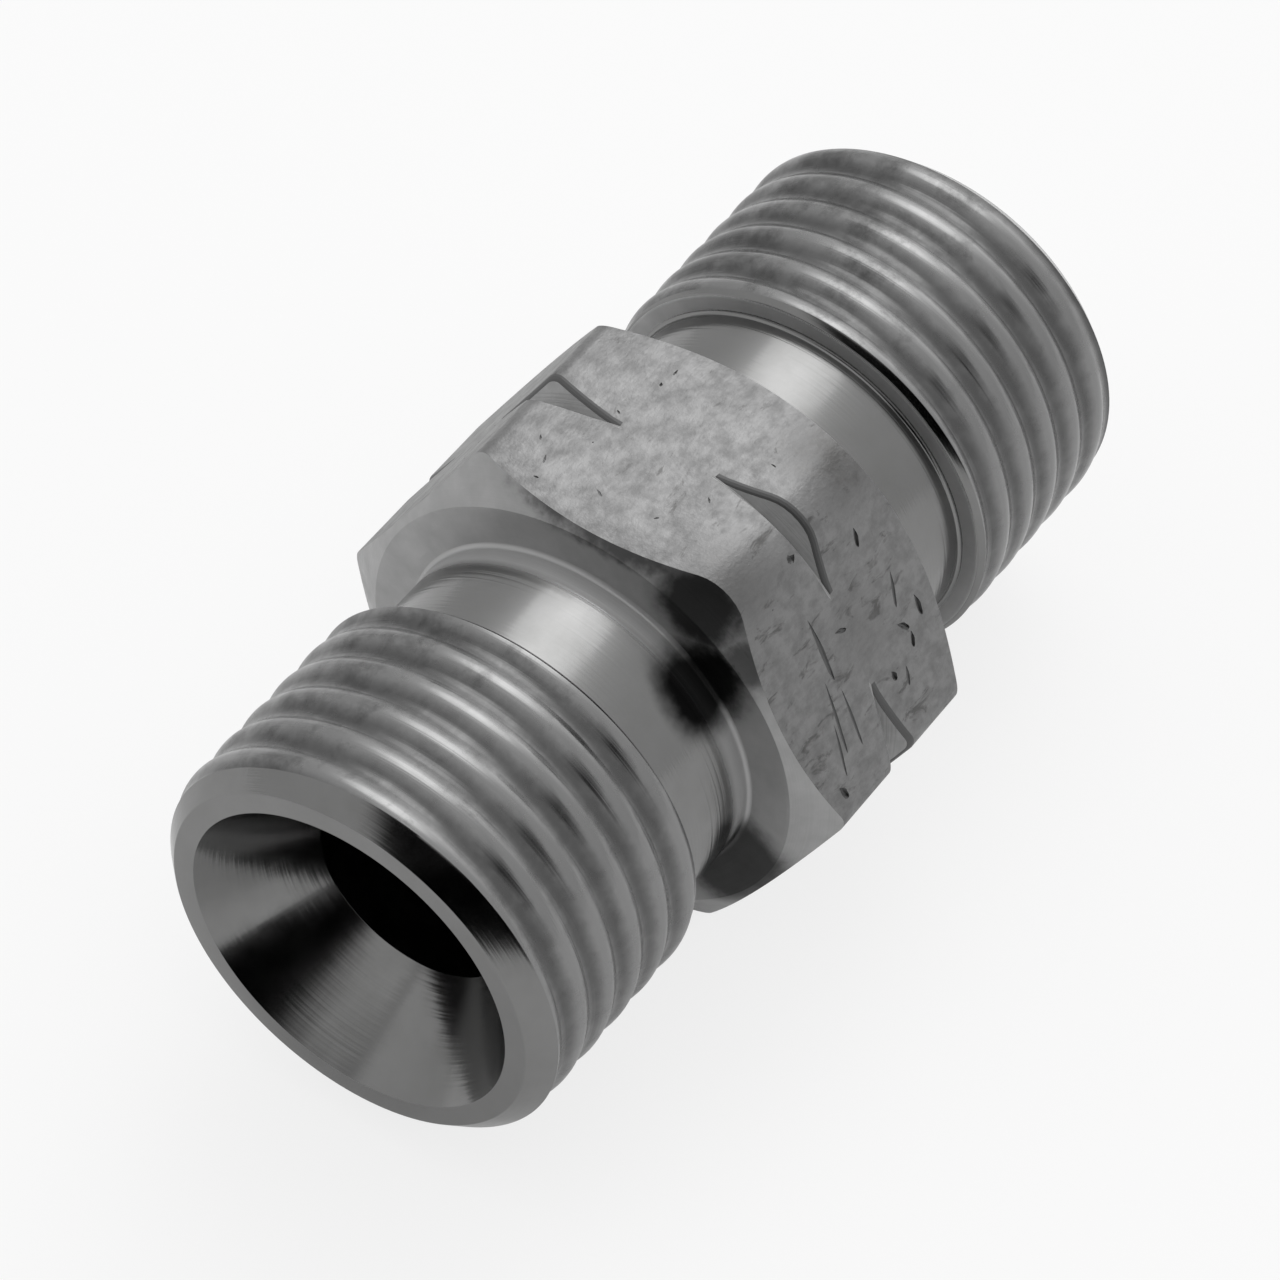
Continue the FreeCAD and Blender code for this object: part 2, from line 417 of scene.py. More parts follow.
# The flats are the skin of the drawn hexagon bar, never machined: matt and grey, with a fine grain,
# faint short strokes from the drawing die along the bar, and stains around the worn corner.
drawnSteel = {
    "colour": "#888888",
    "mottleColour": "#797979",
    "stainColour": "#4c4b4a",
    "roughness": (0.38, 0.50),
    "mottle": 0.55,  # mm
    "mottleFrom": 0.62,  # where in the noise the mottle begins, and where it is full
    "mottleFull": 0.92,
    "stroke": 0.16,  # mm across a stroke, which is longer along the bar
    "strokeShare": 0.5,
    "drawnOut": (0.4, 1, 1),
    "grain": 0.11,  # mm, coarser than the real grain, so that it shows
    "grainHeight": 0.012,  # mm
    # Stains on the worn corner: the middle in mm, how far each reaches, and how strong it is.
    "stains": [
        ((2.9, -4.1, 7.8), 2.3, 0.75),
        ((-2.9, -4.3, 7.7), 2.3, 0.42),
        ((0.4, -7.2, 4.0), 1.9, 0.28),
    ],
    "stainRagged": 4.2,  # mm by which the mottle pulls the edge of a stain in or out
    "stainFade": (-0.3, 1.6),  # mm from its reach where a stain starts to fade, and where it is gone
    "speck": 0.5,  # mm between the small dark specks
    "speckFrom": 0.63,
    "speckFull": 0.71,
    "speckShare": 0.6,
    # There are more specks on the side that it lay on: by so much for each metre along X, Y and Z.
    "lain": (0, -6, 0),
}


def makeDrawnSteel():
    material, tree = newMaterial("drawn_bar_steel")
    place = addNode(tree, "ShaderNodeTexCoord").outputs["Object"]
    mottle = addNode(tree, "ShaderNodeTexNoise", {},
                     {"Vector": place, "Scale": 1 / (drawnSteel["mottle"] * toMetres), "Detail": 5,
                      "Roughness": 0.6}).outputs["Fac"]
    drawnOut = addNode(tree, "ShaderNodeMapping", {},
                       {"Vector": place, "Scale": drawnSteel["drawnOut"]}).outputs["Vector"]
    strokes = addNode(tree, "ShaderNodeTexNoise", {},
                      {"Vector": drawnOut, "Scale": 1 / (drawnSteel["stroke"] * toMetres),
                       "Detail": 3, "Roughness": 0.7}).outputs["Fac"]
    grain = addNode(tree, "ShaderNodeTexNoise", {},
                    {"Vector": place, "Scale": 1 / (drawnSteel["grain"] * toMetres), "Detail": 3,
                     "Roughness": 0.6}).outputs["Fac"]
    uneven = addNode(tree, "ShaderNodeMath", {"operation": "MULTIPLY_ADD"},
                     {0: strokes, 1: drawnSteel["strokeShare"], 2: mottle}).outputs["Value"]
    shade = addNode(tree, "ShaderNodeMapRange", {},
                    {"Value": uneven, "From Min": drawnSteel["mottleFrom"],
                     "From Max": drawnSteel["mottleFull"]}).outputs["Result"]
    bare = addNode(tree, "ShaderNodeMix", {"data_type": "RGBA"},
                   {"Factor": shade, 6: toLinear(drawnSteel["colour"]),
                    7: toLinear(drawnSteel["mottleColour"])}).outputs[2]
    stain = 0.0
    fadeStart, fadeEnd = drawnSteel["stainFade"]
    for middle, reach, share in drawnSteel["stains"]:
        away = addNode(tree, "ShaderNodeVectorMath", {"operation": "DISTANCE"},
                       {0: place, 1: tuple(value * toMetres for value in middle)}).outputs["Value"]
        ragged = addNode(tree, "ShaderNodeMath", {"operation": "MULTIPLY_ADD"},
                         {0: mottle, 1: drawnSteel["stainRagged"] * toMetres,
                          2: away}).outputs["Value"]
        oneStain = addNode(tree, "ShaderNodeMapRange", {},
                           {"Value": ragged, "From Min": (reach + fadeStart) * toMetres,
                            "From Max": (reach + fadeEnd) * toMetres, "To Min": share,
                            "To Max": 0.0}).outputs["Result"]
        stain = addNode(tree, "ShaderNodeMath", {"operation": "MAXIMUM"},
                        {0: stain, 1: oneStain}).outputs["Value"]
    specks = addNode(tree, "ShaderNodeTexNoise", {},
                     {"Vector": drawnOut, "Scale": 1 / (drawnSteel["speck"] * toMetres), "Detail": 4,
                      "Roughness": 0.65, "Distortion": 0.6}).outputs["Fac"]
    lain = addNode(tree, "ShaderNodeVectorMath", {"operation": "DOT_PRODUCT"},
                   {0: place, 1: drawnSteel["lain"]}).outputs["Value"]
    specks = addNode(tree, "ShaderNodeMath", {"operation": "ADD"},
                     {0: specks, 1: lain}).outputs["Value"]
    dark = addNode(tree, "ShaderNodeMapRange", {},
                   {"Value": specks, "From Min": drawnSteel["speckFrom"],
                    "From Max": drawnSteel["speckFull"],
                    "To Max": drawnSteel["speckShare"]}).outputs["Result"]
    marked = addNode(tree, "ShaderNodeMath", {"operation": "MAXIMUM"},
                     {0: stain, 1: dark}).outputs["Value"]
    colour = addNode(tree, "ShaderNodeMix", {"data_type": "RGBA"},
                     {"Factor": marked, 6: bare, 7: toLinear(drawnSteel["stainColour"])}).outputs[2]
    roughness = addNode(tree, "ShaderNodeMapRange", {},
                        {"Value": mottle, "From Min": noiseRange[0], "From Max": noiseRange[1],
                         "To Min": drawnSteel["roughness"][0],
                         "To Max": drawnSteel["roughness"][1]}).outputs["Result"]
    relief = addNode(tree, "ShaderNodeMath", {"operation": "ADD"},
                     {0: grain, 1: strokes}).outputs["Value"]
    endSteel(tree, colour, 1.0, roughness, relief, drawnSteel["grainHeight"])
    return material


# Rust and old oil in the bottom of pits and scratches, matt and darker than the steel. The same colour
# is bevelled along the far lip of the V-groove as a painted shadow.
oxideAndGrooveShade = {"colour": "#646464", "metallic": 0.8, "roughness": 0.5}


def makeOxideAndGrooveShade():
    material, tree = newMaterial("pit_oxide_and_groove_shade")
    shader = addNode(tree, "ShaderNodeBsdfPrincipled", {},
                     {"Base Color": toLinear(oxideAndGrooveShade["colour"]), "Metallic": oxideAndGrooveShade["metallic"],
                      "Roughness": oxideAndGrooveShade["roughness"]})
    addNode(tree, "ShaderNodeOutputMaterial", {}, {"Surface": shader.outputs["BSDF"]})
    return material


turnedFinish = makeTurnedSteel("turned_mild_steel", turnedSteel)
facedFinish = makeTurnedSteel("faced_mild_steel", facedSteel)
tornFinish = makeTurnedSteel("torn_groove_steel", tornSteel)
threadFinish = makeThreadSteel()
drawnFinish = makeDrawnSteel()
pitAndGrooveShadeFinish = makeOxideAndGrooveShade()
print("finishes made")


# The hexagon. It starts as a bar of six sides, and everything round on it is cut by one turned
# form: both end chamfers, and the V-groove that nicks the corners.
hexagon = {
    "width": 8.3,
    # Rounding of the corners, from the one at +Y on. Spanners have worn the one between the top flat
    # and the flat beside it the most.
    "cornerRounding": (0.3, 0.35, 1.1, 0.35, 0.3, 0.35),
    "cornerSteps": 7,
    "faceRadius": 7.7,
    "chamferSlope": 34,  # degrees off the end face
    "markRadius": 8.05,
    "markHalfAngle": 30,
    "toolRounding": 0.05,  # at each corner of the turned form
    "sharp": 32,  # degrees from which an edge is sharp enough to be broken
    "brokenEdge": 0.06,  # width of the rubbed edge around each flat
    # The band along the far side of the V-groove takes the dark pit colour, as a painted shadow.
    "grooveShadowBand": 0.14,  # and along the far side of the V-groove
}


def makeHexagon():
    bpy.ops.object.select_all(action="DESELECT")
    bpy.ops.mesh.primitive_cylinder_add(vertices=6, radius=cornerRadius, depth=hexagon["width"] + 1,
                                        location=(0, 0, 0), rotation=(0, math.pi / 2, 0))
    bar = bpy.context.object
    bar.name = "hexagon_bar"
    bpy.ops.object.transform_apply(location=True, rotation=True, scale=True)
    bar.data.materials.append(drawnFinish)
    near = 0.01  # mm within which a point counts as being there
    for index, rounding in enumerate(hexagon["cornerRounding"]):
        angle = math.radians(60 * index)
        corner = cornerRadius * Vector((0, math.cos(angle), math.sin(angle)))
        selectWhere(bar, "EDGE", lambda mesh, edge: all(
            (mesh.vertices[end].co.yz - corner.yz).length < near for end in edge.vertices))
        bpy.ops.mesh.bevel(offset=rounding, segments=hexagon["cornerSteps"], affect="EDGES")
    pickOnly(bar)

    halfWidth = hexagon["width"] / 2
    # The form starts inside the necks and reaches past the corners.
    inside, outside = 5, cornerRadius + 1
    chamferRise = (outside - hexagon["faceRadius"]) * math.tan(math.radians(hexagon["chamferSlope"]))
    markHalfWidth = (outside - hexagon["markRadius"]) * math.tan(math.radians(hexagon["markHalfAngle"]))
    outline = [(-halfWidth, inside), (-halfWidth, hexagon["faceRadius"]),
               (-halfWidth + chamferRise, outside), (-markHalfWidth, outside),
               (0, hexagon["markRadius"]), (markHalfWidth, outside),
               (halfWidth - chamferRise, outside), (halfWidth, hexagon["faceRadius"]),
               (halfWidth, inside)]
    outline = roundOutline(outline, [hexagon["toolRounding"]] * (len(outline) - 2))
    turnedForm = turn("hexagon_form", outline, facedFinish)
    turnedForm.data.materials.append(tornFinish)
    for face in turnedForm.data.polygons:
        if abs(face.center.x) < markHalfWidth - near:
            face.material_index = 1
    combine(bar, turnedForm, "INTERSECT")

    # A painted shadow: a band of the dark pit colour is bevelled along the lip on the far side of the
    # groove, past the rounding of its bottom.
    pastBottom = 0.03
    bar.data.materials.append(pitAndGrooveShadeFinish)
    startEdit(bar, "EDGE")
    bpy.ops.mesh.edges_select_sharp(sharpness=math.radians(hexagon["sharp"]))
    bpy.ops.object.mode_set(mode="OBJECT")
    for edge in bar.data.edges:
        ends = [bar.data.vertices[end].co for end in edge.vertices]
        edge.select = edge.select and all(pastBottom < end.x < markHalfWidth for end in ends)
    bpy.ops.object.mode_set(mode="EDIT")
    bpy.ops.mesh.bevel(offset=hexagon["grooveShadowBand"], segments=3, affect="EDGES", clamp_overlap=False,
                       material=bar.data.materials.find(pitAndGrooveShadeFinish.name))
    bpy.ops.mesh.select_all(action="DESELECT")
    bpy.ops.mesh.edges_select_sharp(sharpness=math.radians(hexagon["sharp"]))
    bpy.ops.mesh.bevel(offset=hexagon["brokenEdge"], segments=2, affect="EDGES", clamp_overlap=True)
    # No rounding may stand out of the top and bottom flats.
    pickOnly(bar)
    for vertex in bar.data.vertices:
        vertex.co.z = max(-flatDistance, min(flatDistance, vertex.co.z))
    return bar


hexagonBar = makeHexagon()
print("hexagon made,", len(hexagonBar.data.polygons), "faces")


# The threads. One pitch of the outline is screwed along the axis, left-handed, and the turned blank
# then cuts it to length, with a chamfer at the mouth and a small slope at the shoulder.
thread = {
    "pitch": 25.4 / 18,
    "crestRadius": 7.1,
    "depth": 0.18,
    "crestFlat": 0.3,
    "rootFlat": 0.3,
    "crestRounding": 0.68,
    "rootRounding": 0.68,
    "roundingSteps": 5,
    "turns": 8,
    "firstCrest": -15.336,  # mm along the axis, where the first crest passes the top
    "laterCrests": 6,  # as many follow it, the last one past the shoulder
    "farShift": -0.142,  # mm by which the far crests are shifted along the axis
    "shoulder": 8.05,
    "farShoulder": 7.82,  # the far thread was cut a little closer to the hexagon
    "endGap": 0.001,  # mm by which its end stays inside the CAD's box
    "endChamfer": 0.7,
    "endRounding": 0.08,
    "chamferRounding": 0.4,
    "shoulderSlope": 0.22,  # the slope and the rounding from the shoulder to the first crest
    "shoulderRounding": 0.22,
    "blankSteps": 4,
}


def makeThreads():
    pitch, top = thread["pitch"], thread["crestRadius"]
    bottom = top - thread["depth"]
    crestHalf, rootHalf = thread["crestFlat"] / 2, thread["rootFlat"] / 2
    middle = thread["firstCrest"] + thread["laterCrests"] * pitch
    corners = [(middle + pitch / 2, bottom), (middle + pitch / 2 - rootHalf, bottom),
               (middle + crestHalf, top), (middle - crestHalf, top),
               (middle - pitch / 2 + rootHalf, bottom), (middle - pitch / 2, bottom)]
    outline = [corners[0]]
    for index, rounding in ((1, "rootRounding"), (2, "crestRounding"), (3, "crestRounding"),
                            (4, "rootRounding")):
        outline += roundCorner(corners[index - 1], corners[index], corners[index + 1],
                               thread[rounding], thread["roundingSteps"])
    outline.append(corners[5])
    near = drawOutline("near_thread", outline)
    applyModifier(near, "SCREW", axis="X", angle=math.radians(360), screw_offset=-pitch,
                  iterations=thread["turns"], steps=turnedSteps, render_steps=turnedSteps,
                  use_normal_calculate=True)
    startEdit(near)
    bpy.ops.mesh.select_all(action="SELECT")
    bpy.ops.mesh.remove_doubles(threshold=0.001)
    # Both open ends are closed with a cone, outside what the blank keeps.
    betweenEnds, nearTip, hexagonTip = -12, -halfLength - 3, middle + pitch / 2 + 1
    for tip, towardsHexagon in ((hexagonTip, True), (nearTip, False)):
        startEdit(near)
        bpy.ops.mesh.select_non_manifold()
        bpy.ops.object.mode_set(mode="OBJECT")
        for vertex in near.data.vertices:
            if vertex.select and (vertex.co.x > betweenEnds) != towardsHexagon:
                vertex.select = False
        for edge in near.data.edges:
            edge.select = edge.select and all(near.data.vertices[end].select for end in edge.vertices)
        bpy.ops.object.mode_set(mode="EDIT")
        bpy.ops.mesh.select_mode(type="EDGE")
        bpy.ops.mesh.extrude_edges_move(TRANSFORM_OT_translate={"value": (0, 0, 0)})
        bpy.ops.transform.resize(value=(0, 0, 0), center_override=(tip, 0, 0))
        bpy.ops.mesh.remove_doubles(threshold=0.0001)
    startEdit(near)
    bpy.ops.mesh.select_all(action="SELECT")
    bpy.ops.mesh.normals_make_consistent(inside=False)
    pickOnly(near)
    near.data.materials.append(threadFinish)

    far = otherEnd(near, "far_thread")
    startEdit(far)
    bpy.ops.mesh.select_all(action="SELECT")
    bpy.ops.transform.translate(value=(thread["farShift"], 0, 0))
    pickOnly(far)

    # The blank stands a little over the crests, and reaches in to where the neck's bar fills it.
    over, inside, shoulderFacing = 0.05, 3, 0.02
    chamfer, slope = thread["endChamfer"], thread["shoulderSlope"]
    roundings = [thread["endRounding"], thread["chamferRounding"]] + [thread["shoulderRounding"]] * 2
    end = -halfLength + thread["endGap"]
    blanks = []
    for name, shoulder in (("near_blank", thread["shoulder"]), ("far_blank", thread["farShoulder"])):
        outline = [(end, inside), (end, top - chamfer), (end + chamfer + over, top + over),
                   (-shoulder - slope - over, top + over), (-shoulder, top - slope),
                   (-shoulder, inside)]
        blank = turn(name, roundOutline(outline, roundings, thread["blankSteps"]), turnedFinish)
        # The shoulder was faced off.
        blank.data.materials.append(facedFinish)
        for face in blank.data.polygons:
            if face.center.x > -shoulder - shoulderFacing:
                face.material_index = 1
        blanks.append(blank)
    farBlank = otherEnd(blanks[1], "far_blank_turned")
    bpy.data.objects.remove(blanks[1])
    threads = joinPieces([near, far])
    combine(threads, joinPieces([blanks[0], farBlank]), "INTERSECT")
    return threads


threads = makeThreads()
print("threads cut,", len(threads.data.polygons), "faces")


# The plain necks, with the small radius where each meets the hexagon, and the bore with its seats.
core = {
    "neckRadius": 6.2,
    "faceRounding": 0.15,  # where the neck meets the hexagon
    "shoulderRounding": 0.14,  # and where it meets the thread
    "underThread": 1.5,  # how far short of each end the necks' bar stops, inside the thread
    "endRadius": 3,  # of the bar's ends, less than the bore's, which takes them away
    "intoHexagon": 0.5,
    "boreRadius": 3.425,
    "mouthRadius": 5.68,
    "seatHalfAngle": 34,
    "seatRounding": 0.06,
}


def makeCore():
    neck, face = core["neckRadius"], hexagon["width"] / 2
    atFace, atShoulder = core["faceRounding"], core["shoulderRounding"]
    end = -halfLength + core["underThread"]
    quarter = [(math.sin(math.radians(angle)), 1 - math.cos(math.radians(angle)))
               for angle in (0, 15, 30, 45, 60, 75, 90)]
    halves = []
    for shoulder in (thread["shoulder"], thread["farShoulder"]):
        half = [(end, core["endRadius"]), (end, neck + atShoulder)]
        half += [(-shoulder + (1 - along) * atShoulder, neck + out * atShoulder)
                 for along, out in reversed(quarter)]
        half += [(-face - (1 - along) * atFace, neck + out * atFace) for along, out in quarter]
        halves.append(half + [(-face + core["intoHexagon"], neck + atFace)])
    return turn("necks", halves[0] + [(-x, radius) for x, radius in reversed(halves[1])], turnedFinish)


def makeBoreCutter():
    mouth, bore = core["mouthRadius"], core["boreRadius"]
    seatDepth = (mouth - bore) / math.tan(math.radians(core["seatHalfAngle"]))
    # Outside the mouth the cutter widens, which breaks the mouth's edge.
    past, wider = 1, 0.3
    nearHalf = [(-halfLength - past, mouth + wider), (-halfLength, mouth),
                (-halfLength + seatDepth, bore)]
    outline = nearHalf + [(-x, radius) for x, radius in reversed(nearHalf)]
    return turn("bore_cutter", roundOutline(outline, [core["seatRounding"]] * 4), turnedFinish)


connector = makeCore()
connector.name = "connector"
combine(connector, hexagonBar, "UNION")
combine(connector, threads, "UNION")
combine(connector, makeBoreCutter(), "DIFFERENCE")
print("connector joined and bored,", len(connector.data.polygons), "faces")


# Pits, dents and scratches that years of use have left. One rough pebble is modelled, and its copies
# are pressed into the flats. Each place gives the angle of the flat (90 is the top), the distance from
# the hexagon's near end, the distance across the flat, the length, the width and the turn on the flat.
wear = {
    "roughness": 0.45,  # of the pebble, whose radius is 1
    "depth": 0.1,  # at most
    "pitDepth": 0.45,  # depth for each mm of width
    "scratchDepth": 0.2,
    "scratch": 4,  # a mark this many times longer than wide is a scratch
    "marks": [
        (90, 1.75, -2.8, 0.34, 0.07, 20), (90, 1.6, -0.7, 0.3, 0.07, 60), (90, 7, -1.6, 0.26, 0.07, 0),
        (90, 3.3, 2.1, 0.22, 0.06, 40), (90, 5.6, 2.9, 0.18, 0.06, 80), (90, 2.4, -3.4, 0.2, 0.06, 30),
        (150, 3.4, -3.7, 0.34, 0.28, 0), (150, 6.1, -2.4, 0.6, 0.18, 75),
        (150, 2.95, -0.45, 2.1, 0.19, 88), (150, 4, -0.5, 0.5, 0.15, 155),
        (150, 2.35, 1.7, 2.3, 0.12, 81), (150, 2.95, 2.1, 1.9, 0.11, 85),
        (150, 1.95, 2.6, 1.6, 0.1, 76), (150, 1.4, 3.7, 0.5, 0.24, 105),
        (150, 5.2, 2.2, 0.34, 0.22, 90), (150, 5.7, 2.6, 0.6, 0.14, 70),
        (150, 6.4, 1.2, 0.55, 0.19, 130), (150, 6.5, 1.8, 0.5, 0.17, 70),
        (150, 6.6, 0, 1.1, 0.14, 70), (150, 7.3, 1.1, 0.7, 0.2, 85),
    ],
    # Small marks are scattered over all flats, along and across within these distances.
    "scattered": 36,
    "scatteredAlong": (0.9, 7.4),
    "scatteredAcross": 3.5,
    "scatteredLengths": (0.06, 0.08, 0.11, 0.16),
    "scatteredWidths": (0.3, 0.8),  # share of the length
    "nearest": 0.4,  # between a scattered mark and the ends of another
    # They keep off the V-groove: so far along from its middle, and so far out.
    "grooveHalf": 0.5,
    "grooveFrom": 2.2,
    "mostTries": 4000,
}


def markPlace(flat, along, across):
    angle, sideways = math.radians(flat), math.radians(flat + 90)
    return Vector((along - hexagon["width"] / 2,
                   flatDistance * math.cos(angle) + across * math.cos(sideways),
                   flatDistance * math.sin(angle) + across * math.sin(sideways)))


def makeWear():
    bpy.ops.object.select_all(action="DESELECT")
    bpy.ops.mesh.primitive_ico_sphere_add(subdivisions=2, radius=1, location=(0, 0, 0))
    pebble = bpy.context.object
    pebble.name = "pebble"
    startEdit(pebble)
    bpy.ops.mesh.select_all(action="SELECT")
    bpy.ops.transform.vertex_random(offset=wear["roughness"], seed=5)
    pickOnly(pebble)
    pebble.data.materials.append(pitAndGrooveShadeFinish)

    marks = list(wear["marks"])
    tries, furthest = 0, wear["scatteredAcross"]
    while len(marks) < len(wear["marks"]) + wear["scattered"] and tries < wear["mostTries"]:
        tries += 1
        flat = random.choice((-30, 30, 90, 150, 210, 270))
        along, across = random.uniform(*wear["scatteredAlong"]), random.uniform(-furthest, furthest)
        length = random.choice(wear["scatteredLengths"])
        spot = markPlace(flat, along, across)
        overGroove = abs(along - hexagon["width"] / 2) < wear["grooveHalf"]
        if overGroove and abs(across) > wear["grooveFrom"]:
            continue
        if any((spot - markPlace(*mark[:3])).length < wear["nearest"] + mark[3] / 2 for mark in marks):
            continue
        width = length * random.uniform(*wear["scatteredWidths"])
        marks.append((flat, along, across, length, width, random.uniform(0, 180)))

    copies = []
    for flat, along, across, length, width, turned in marks:
        pickOnly(pebble)
        bpy.ops.object.duplicate()
        copy = bpy.context.object
        copy.location = markPlace(flat, along, across)
        steepness = wear["scratchDepth"] if length > width * wear["scratch"] else wear["pitDepth"]
        copy.scale = (length / 2, width / 2, min(wear["depth"], width * steepness))
        ontoFlat = Matrix.Rotation(math.radians(flat - 90), 3, "X")
        copy.rotation_euler = (ontoFlat @ Matrix.Rotation(math.radians(turned), 3, "Z")).to_euler()
        bpy.ops.object.transform_apply(location=True, rotation=True, scale=True)
        copies.append(copy)
    bpy.data.objects.remove(pebble)
    return joinPieces(copies)


combine(connector, makeWear(), "DIFFERENCE")
print("wear pressed in,", len(connector.data.polygons), "faces")


# The piece is brought to metres, at the place that the CAD gives it.
startEdit(connector)
bpy.ops.mesh.select_all(action="SELECT")
bpy.ops.transform.resize(value=(toMetres, toMetres, toMetres), center_override=(0, 0, 0))
pickOnly(connector)
smoothUpTo = 18  # degrees
bpy.ops.object.shade_smooth_by_angle(angle=math.radians(smoothUpTo))
# One finish ends where a tool stopped, so the shading doesn't run on over that line.
finishesAtEdge = {}
for face in connector.data.polygons:
    for edgeKey in face.edge_keys:
        finishesAtEdge.setdefault(edgeKey, set()).add(face.material_index)
selectWhere(connector, "EDGE", lambda mesh, edge: len(finishesAtEdge.get(edge.key, ())) > 1)
bpy.ops.mesh.mark_sharp()
pickOnly(connector)
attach(connector, "root")
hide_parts("connector_body")
triangles = sum(len(face.vertices) - 2 for face in connector.data.polygons)
print("connector finished,", triangles, "triangles")


# The floor that the connector rests on, a plain white board. Part of its white is its own, more of it
# for the eye than for what the steel reflects, and the rest keeps the connector's shadow.
floor = {"size": 6.0, "colour": "#f4f4f4", "roughness": 0.9, "seenWhite": 0.8, "reflectedWhite": 0.32}
bpy.ops.object.select_all(action="DESELECT")
bpy.ops.mesh.primitive_plane_add(size=floor["size"], location=(0, 0, -flatDistance * toMetres))
floorPiece = bpy.context.object
floorPiece.name = "floor"
floorFinish, floorTree = newMaterial("matt_white_board")
board = addNode(floorTree, "ShaderNodeBsdfPrincipled", {},
                {"Base Color": toLinear(floor["colour"]), "Roughness": floor["roughness"]})
ownWhite = addNode(floorTree, "ShaderNodeEmission", {}, {"Strength": 1.0})
ray = addNode(floorTree, "ShaderNodeLightPath")
seen = addNode(floorTree, "ShaderNodeMath", {"operation": "MULTIPLY"},
               {0: ray.outputs["Is Camera Ray"], 1: floor["seenWhite"]}).outputs["Value"]
mirrored = addNode(floorTree, "ShaderNodeMath", {"operation": "MAXIMUM"},
                   {0: ray.outputs["Is Glossy Ray"],
                    1: ray.outputs["Is Transmission Ray"]}).outputs["Value"]
reflected = addNode(floorTree, "ShaderNodeMath", {"operation": "MULTIPLY"},
                    {0: mirrored, 1: floor["reflectedWhite"]}).outputs["Value"]
share = addNode(floorTree, "ShaderNodeMath", {"operation": "MAXIMUM"},
                {0: seen, 1: reflected}).outputs["Value"]
mixedFloor = addNode(floorTree, "ShaderNodeMixShader", {},
                     {0: share, 1: board.outputs["BSDF"], 2: ownWhite.outputs["Emission"]})
addNode(floorTree, "ShaderNodeOutputMaterial", {}, {"Surface": mixedFloor.outputs[0]})
floorPiece.data.materials.append(floorFinish)

# The room: grey walls that grow paler overhead, a broad soft window behind the connector with a lit
# wall below it, and a dark side where someone stands, which the steel reflects as black.
room = {
    "horizon": 0.70,
    "zenith": 0.82,
    "windowAzimuth": 20,
    "windowElevation": 53,
    "window": 1.5,
    "windowFall": 19,  # the power of the cosine with which the window fades
    "lowAzimuth": 5,
    "lowElevation": 20,
    "low": 1.0,
    "lowFall": 12,
    "darkAzimuth": -149,
    "darkSides": (0.52, 0.70),  # sideways, where it is black and where the room is back
    "darkTop": (0.66, 0.84),  # upwards, likewise
    "darkBack": (0.05, -0.05),  # and towards the other side of the room
}


def towards(azimuth, elevation):
    azimuth, elevation = math.radians(azimuth), math.radians(elevation)
    return Vector((math.cos(elevation) * math.cos(azimuth), math.cos(elevation) * math.sin(azimuth),
                   math.sin(elevation)))


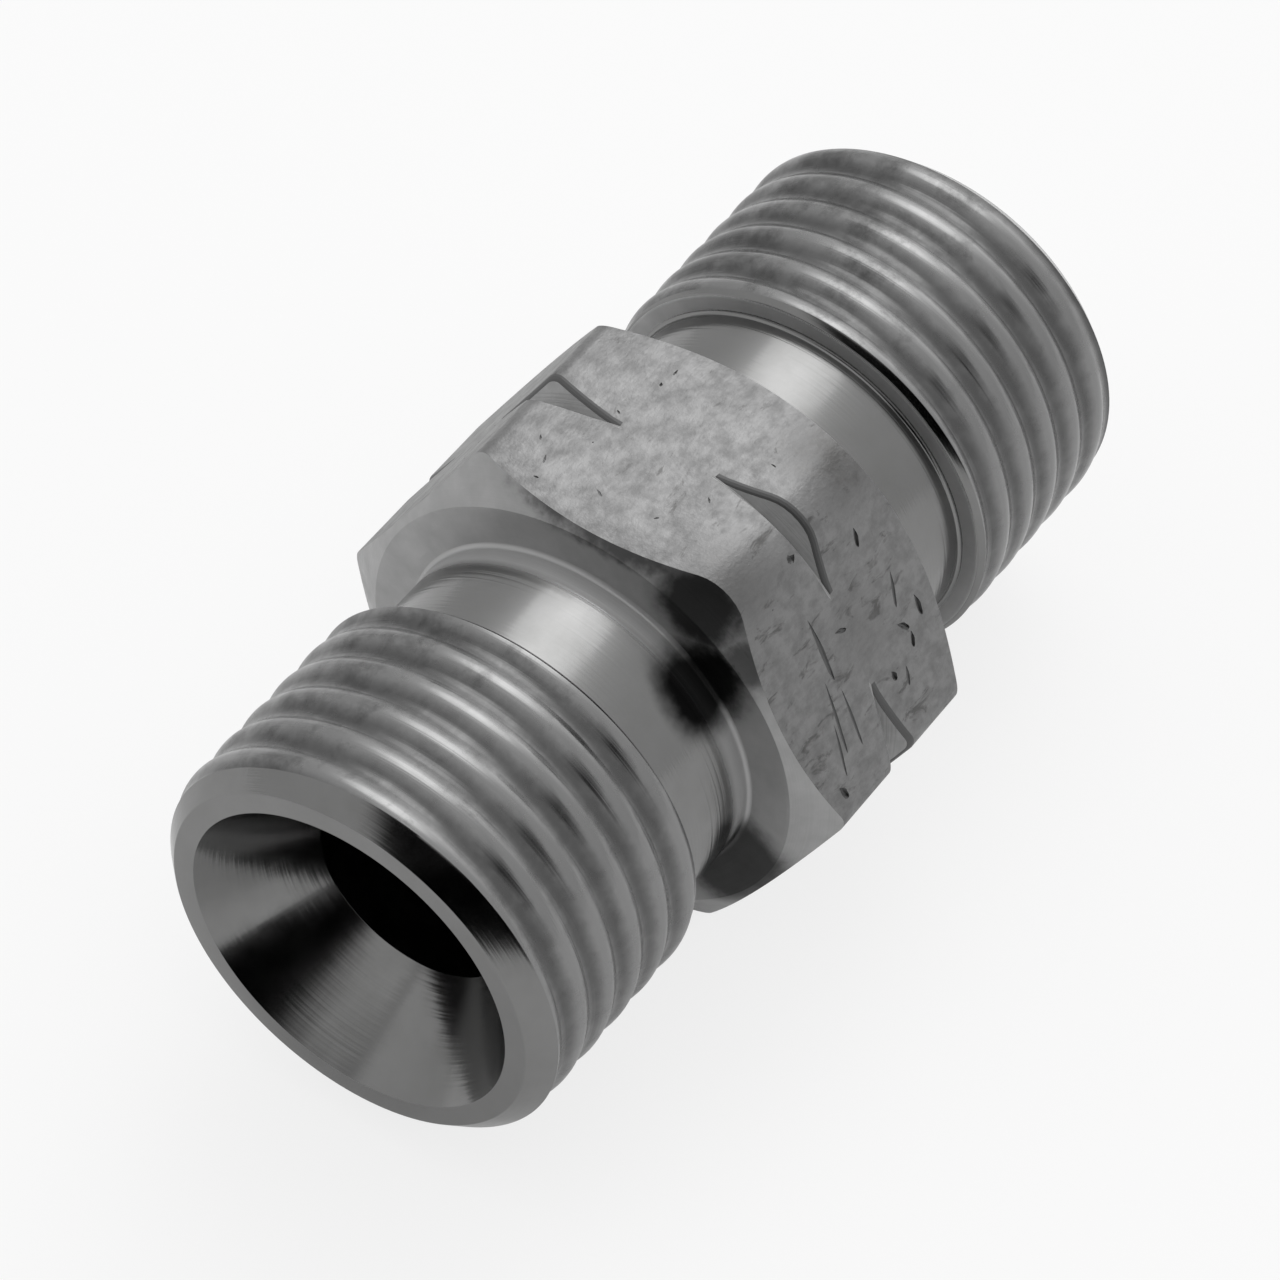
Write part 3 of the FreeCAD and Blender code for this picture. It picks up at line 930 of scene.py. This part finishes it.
def makeRoom():
    world = bpy.data.worlds.new("room")
    world.use_nodes = True
    tree = world.node_tree
    tree.nodes.clear()
    direction = addNode(tree, "ShaderNodeTexCoord").outputs["Generated"]
    height = addNode(tree, "ShaderNodeSeparateXYZ", {}, {"Vector": direction}).outputs["Z"]
    bright = addNode(tree, "ShaderNodeMapRange", {},
                     {"Value": height, "To Min": room["horizon"],
                      "To Max": room["zenith"]}).outputs["Result"]
    for opening in ("window", "low"):
        openingPlace = towards(room[opening + "Azimuth"], room[opening + "Elevation"])
        facing = addNode(tree, "ShaderNodeVectorMath", {"operation": "DOT_PRODUCT"},
                         {0: direction, 1: openingPlace})
        inFront = addNode(tree, "ShaderNodeMath", {"operation": "MAXIMUM"},
                          {0: facing.outputs["Value"], 1: 0.0}).outputs["Value"]
        fading = addNode(tree, "ShaderNodeMath", {"operation": "POWER"},
                         {0: inFront, 1: room[opening + "Fall"]}).outputs["Value"]
        bright = addNode(tree, "ShaderNodeMath", {"operation": "MULTIPLY_ADD"},
                         {0: fading, 1: room[opening], 2: bright}).outputs["Value"]
    sideways = addNode(tree, "ShaderNodeVectorMath", {"operation": "DOT_PRODUCT"},
                       {0: direction, 1: towards(room["darkAzimuth"] + 90, 0)}).outputs["Value"]
    offMiddle = addNode(tree, "ShaderNodeMath", {"operation": "ABSOLUTE"},
                        {0: sideways}).outputs["Value"]
    pastSides = addNode(tree, "ShaderNodeMapRange", {"interpolation_type": "SMOOTHSTEP"},
                        {"Value": offMiddle, "From Min": room["darkSides"][0],
                         "From Max": room["darkSides"][1]}).outputs["Result"]
    overTop = addNode(tree, "ShaderNodeMapRange", {"interpolation_type": "SMOOTHSTEP"},
                      {"Value": height, "From Min": room["darkTop"][0],
                       "From Max": room["darkTop"][1]}).outputs["Result"]
    ahead = addNode(tree, "ShaderNodeVectorMath", {"operation": "DOT_PRODUCT"},
                    {0: direction, 1: towards(room["darkAzimuth"], 0)}).outputs["Value"]
    otherSide = addNode(tree, "ShaderNodeMapRange", {"interpolation_type": "SMOOTHSTEP"},
                        {"Value": ahead, "From Min": room["darkBack"][1],
                         "From Max": room["darkBack"][0], "To Min": 1.0,
                         "To Max": 0.0}).outputs["Result"]
    lit = pastSides
    for backAgain in (overTop, otherSide):
        lit = addNode(tree, "ShaderNodeMath", {"operation": "MAXIMUM"},
                      {0: lit, 1: backAgain}).outputs["Value"]
    strength = addNode(tree, "ShaderNodeMath", {"operation": "MULTIPLY"},
                       {0: bright, 1: lit}).outputs["Value"]
    around = addNode(tree, "ShaderNodeBackground", {}, {"Color": (1, 1, 1, 1), "Strength": strength})
    backdrop = addNode(tree, "ShaderNodeBackground", {}, {"Color": (1, 1, 1, 1), "Strength": 1.0})
    cameraRay = addNode(tree, "ShaderNodeLightPath").outputs["Is Camera Ray"]
    mixed = addNode(tree, "ShaderNodeMixShader", {},
                    {0: cameraRay, 1: around.outputs[0], 2: backdrop.outputs[0]})
    addNode(tree, "ShaderNodeOutputWorld", {}, {"Surface": mixed.outputs[0]})
    bpy.context.scene.world = world


makeRoom()

# A soft lamp in front of the window gives the connector its shadow.
lamp = {"distance": 0.5, "size": 0.36, "power": 0.2}  # metres and watts
bpy.ops.object.select_all(action="DESELECT")
lampPlace = towards(room["windowAzimuth"], room["windowElevation"]) * lamp["distance"]
bpy.ops.object.light_add(type="AREA", location=lampPlace)
softLamp = bpy.context.object
softLamp.name = "soft_lamp"
softLamp.data.shape = "DISK"
softLamp.data.size = lamp["size"]
softLamp.data.energy = lamp["power"]
softLamp.rotation_euler = (-lampPlace).to_track_quat("-Z", "Y").to_euler()
print("room and lamp set")

# The camera stands where the photograph was taken from.
view = {
    "place": (-103.412, -62.397, 141.888),  # mm
    "forward": (0.55186, 0.33571, -0.76338),
    "up": (0.61725, 0.45111, 0.64460),
    "lens": 168.93,  # mm, on a sensor 36 mm wide
    "sensor": 36,
}
bpy.ops.object.camera_add(location=Vector(view["place"]) * toMetres)
camera = bpy.context.object
forward, up = Vector(view["forward"]).normalized(), Vector(view["up"])
right = forward.cross(up).normalized()
up = right.cross(forward)
camera.rotation_euler = Matrix((right, up, -forward)).transposed().to_euler()
camera.data.sensor_width = view["sensor"]
camera.data.lens = view["lens"]
camera.data.clip_start = 0.01
bpy.context.scene.camera = camera
bpy.context.scene.view_settings.view_transform = "Standard"
